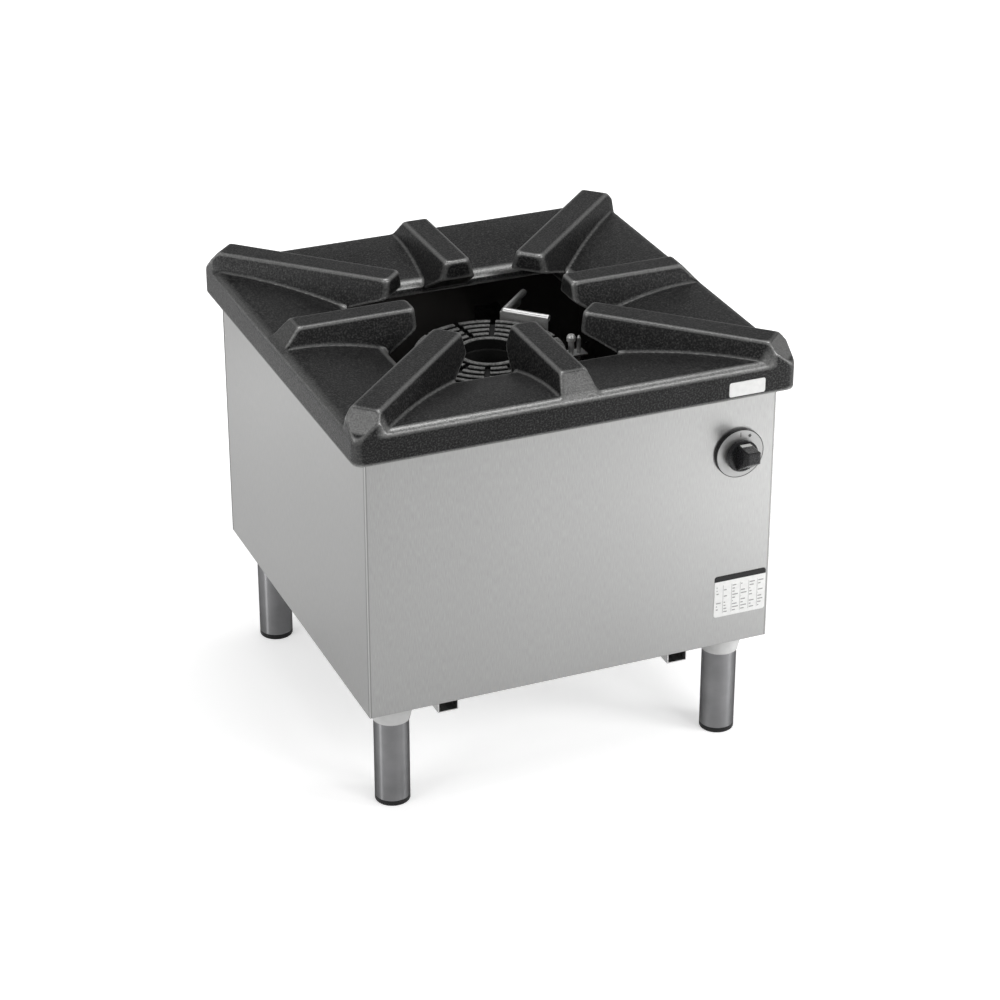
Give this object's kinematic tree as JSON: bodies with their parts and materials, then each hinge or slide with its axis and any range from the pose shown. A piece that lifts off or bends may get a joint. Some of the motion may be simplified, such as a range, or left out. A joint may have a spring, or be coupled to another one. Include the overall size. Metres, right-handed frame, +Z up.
{
  "type": "stock pot stove",
  "caption": "Free-standing gas stock pot stove: ribbed cast-iron top on a stainless cabinet, ring burner with pilot, push-and-turn tap, slide-out drip tray, adjustable legs.",
  "frame": {"origin": "on the floor under the middle of the cabinet", "axes": "+Z up, the tap and dial face -Y, +X to the right seen from the front"},
  "size_m": [0.64, 0.6964, 0.628],
  "materials": {
    "cast_black": "sand-cast with a matte black heat-proof coat",
    "cast_burner": "bare sand-cast iron, darkened by heat",
    "panel_steel": "fine brushed stainless sheet",
    "tray_steel": "plain mill-finish sheet",
    "leg_steel": "satin drawn tube",
    "leg_alloy": "fine cast, tumbled",
    "black_plastic": "fine moulded texture",
    "pointer_white": "filled white line",
    "plate_alloy": "plain pale plate, left bare",
    "dial_alloy": "satin, with plain marks",
    "bolt_steel": "zinc plated",
    "guard_steel": "bright bent stainless sheet",
    "brass": "machined",
    "pipe_steel": "drawn steel tube",
    "tube_alloy": "soft drawn tube",
    "copper": "thin copper tube"
  },
  "bodies": {
    "body": {"front_panel": "panel_steel", "back_panel": "panel_steel", "right_panel": "panel_steel", "left_panel": "panel_steel", "back_panel_screws": "bolt_steel", "rating_plate": "plate_alloy", "leg_bolts": "bolt_steel", "tray_runner_left": "tray_steel", "tray_runner_right": "tray_steel", "runner_bolts": "bolt_steel", "burner_bowl": "cast_burner", "burner_bolts": "bolt_steel", "burner_rail_left": "tray_steel", "burner_rail_right": "tray_steel", "mixer_tube": "cast_burner", "injector": "brass", "injector_holder": "brass", "tap_body": "brass", "tap_nut": "brass", "dial_base": "black_plastic", "dial_plate": "dial_alloy", "supply_pipe": "pipe_steel", "inlet_connector": "brass", "inlet_locknut": "brass", "feed_pipe": "tube_alloy", "pilot_tube": "tube_alloy", "thermocouple_lead": "copper", "pipe_nuts": "brass", "pilot_burner": "guard_steel", "thermocouple": "guard_steel", "pilot_bracket": "guard_steel", "pilot_guard": "guard_steel", "small_screws": "bolt_steel", "leg_plate_front_left": "tray_steel", "leg_socket_front_left": "leg_alloy", "leg_tube_front_left": "leg_steel", "leg_plate_back_left": "tray_steel", "leg_socket_back_left": "leg_alloy", "leg_tube_back_left": "leg_steel", "leg_plate_front_right": "tray_steel", "leg_socket_front_right": "leg_alloy", "leg_tube_front_right": "leg_steel", "leg_plate_back_right": "tray_steel", "leg_socket_back_right": "leg_alloy", "leg_tube_back_right": "leg_steel"},
    "cast_top": {"cast_top": "cast_black", "name_plate": "plate_alloy"},
    "burner_crown": {"burner_crown": "cast_burner"},
    "drip_tray": {"drip_tray": "tray_steel"},
    "push_rod": {"tap_plunger": "bolt_steel"},
    "knob": {"control_knob": "black_plastic", "knob_pointer": "pointer_white", "tap_spindle": "bolt_steel"},
    "air_shutter": {"air_shutter": "guard_steel"},
    "foot_front_left": {"leg_foot_front_left": "black_plastic"},
    "foot_back_left": {"leg_foot_back_left": "black_plastic"},
    "foot_front_right": {"leg_foot_front_right": "black_plastic"},
    "foot_back_right": {"leg_foot_back_right": "black_plastic"}
  },
  "joints": [
    {"name": "top_lift", "type": "slide", "parent": "body", "child": "cast_top", "axis": [0, 0, 1], "range_m": [0, 0.2]},
    {"name": "crown_lift", "type": "slide", "parent": "body", "child": "burner_crown", "axis": [0, 0, 1], "range_m": [0, 0.15]},
    {"name": "tray_slide", "type": "slide", "parent": "body", "child": "drip_tray", "axis": [0, -1, 0], "range_m": [0, 0.3]},
    {"name": "knob_push", "type": "slide", "parent": "body", "child": "push_rod", "axis": [0, 1, 0], "range_m": [0, 0.004], "stiffness_N_per_m": 1500, "springref_m": -0.003},
    {"name": "knob_turn", "type": "hinge", "parent": "push_rod", "child": "knob", "pos_m": [0.245, -0.33, 0.465], "axis": [0, 1, 0], "range_deg": [0, 150]},
    {"name": "shutter_turn", "type": "hinge", "parent": "body", "child": "air_shutter", "pos_m": [0, -0.23, 0.494], "axis": [0, -1, 0], "range_deg": [0, 45]},
    {"name": "foot_front_left_adjust", "type": "slide", "parent": "body", "child": "foot_front_left", "axis": [0, 0, -1], "range_m": [0, 0.025]},
    {"name": "foot_back_left_adjust", "type": "slide", "parent": "body", "child": "foot_back_left", "axis": [0, 0, -1], "range_m": [0, 0.025]},
    {"name": "foot_front_right_adjust", "type": "slide", "parent": "body", "child": "foot_front_right", "axis": [0, 0, -1], "range_m": [0, 0.025]},
    {"name": "foot_back_right_adjust", "type": "slide", "parent": "body", "child": "foot_back_right", "axis": [0, 0, -1], "range_m": [0, 0.025]}
  ]
}
